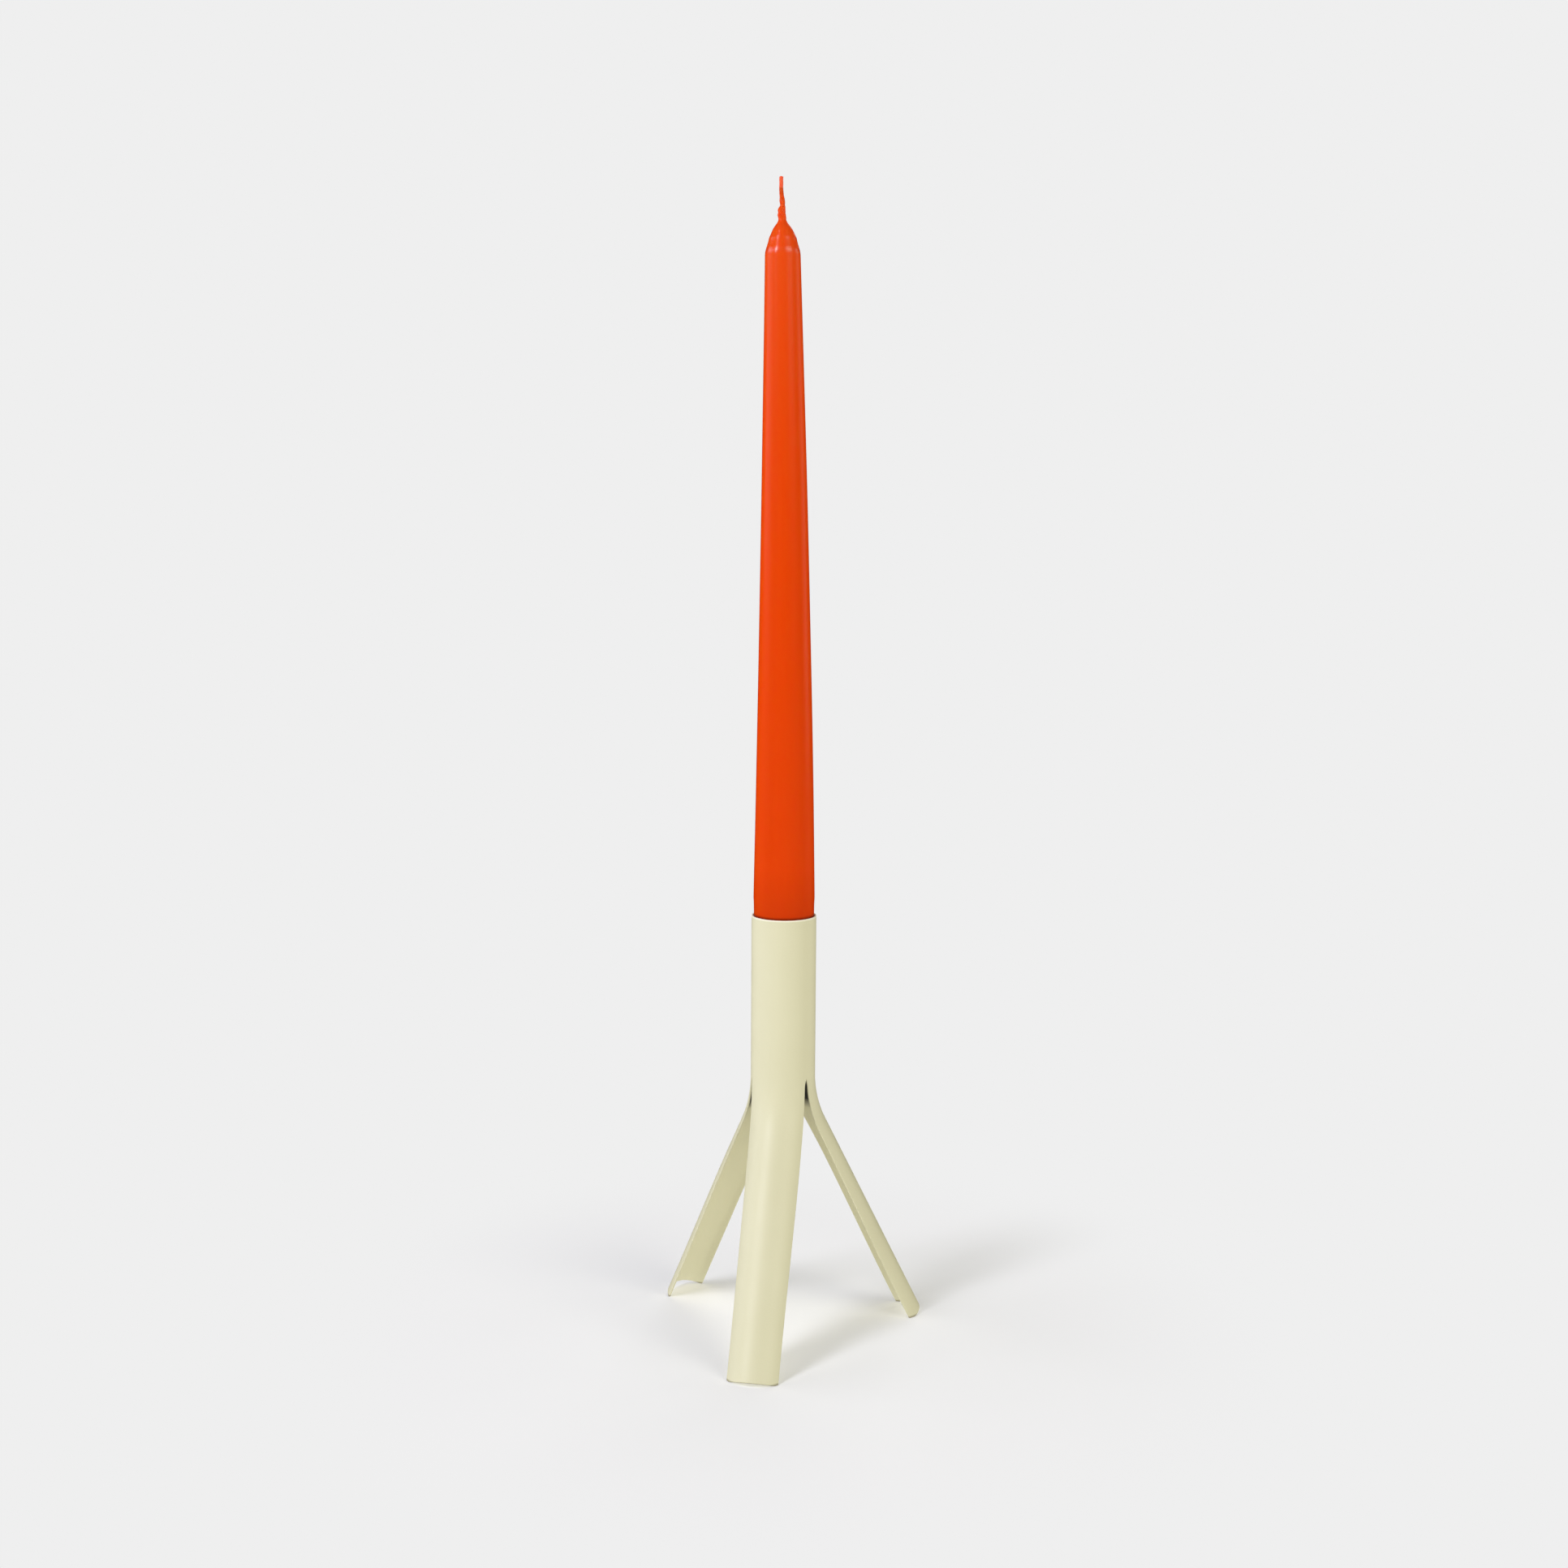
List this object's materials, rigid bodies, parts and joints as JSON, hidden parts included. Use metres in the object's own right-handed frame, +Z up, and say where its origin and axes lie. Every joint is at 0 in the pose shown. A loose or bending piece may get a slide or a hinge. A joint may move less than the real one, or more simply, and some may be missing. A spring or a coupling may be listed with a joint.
{
  "type": "taper candle in tripod holder",
  "caption": "Tall tapered candle standing in a slim tube holder whose lower end is slit and bent out into a tripod of legs; the candle lifts out.",
  "frame": {"origin": "on the tube's axis, in the plane that the three feet stand on", "axes": "+Z up along the tube and the candle; -Y through the middle of one leg, the other legs 120 degrees to each side; +X completes a right-handed frame"},
  "size_m": [0.1052, 0.0941, 0.4414],
  "materials": {
    "cream_powder_coat": "fine matte powder coat",
    "stop_steel": "matte powder coat",
    "orange_wax": "smooth satin wax, slightly translucent",
    "wick_cotton": "braided cotton soaked with wax"
  },
  "bodies": {
    "stand": {"tripod_tube": "cream_powder_coat", "candle_stop": "stop_steel"},
    "candle": {"candle_body": "orange_wax", "wick": "wick_cotton"}
  },
  "joints": [
    {"name": "candle_lift", "type": "slide", "parent": "stand", "child": "candle", "axis": [0, 0, 1], "range_m": [0, 0.05]}
  ]
}
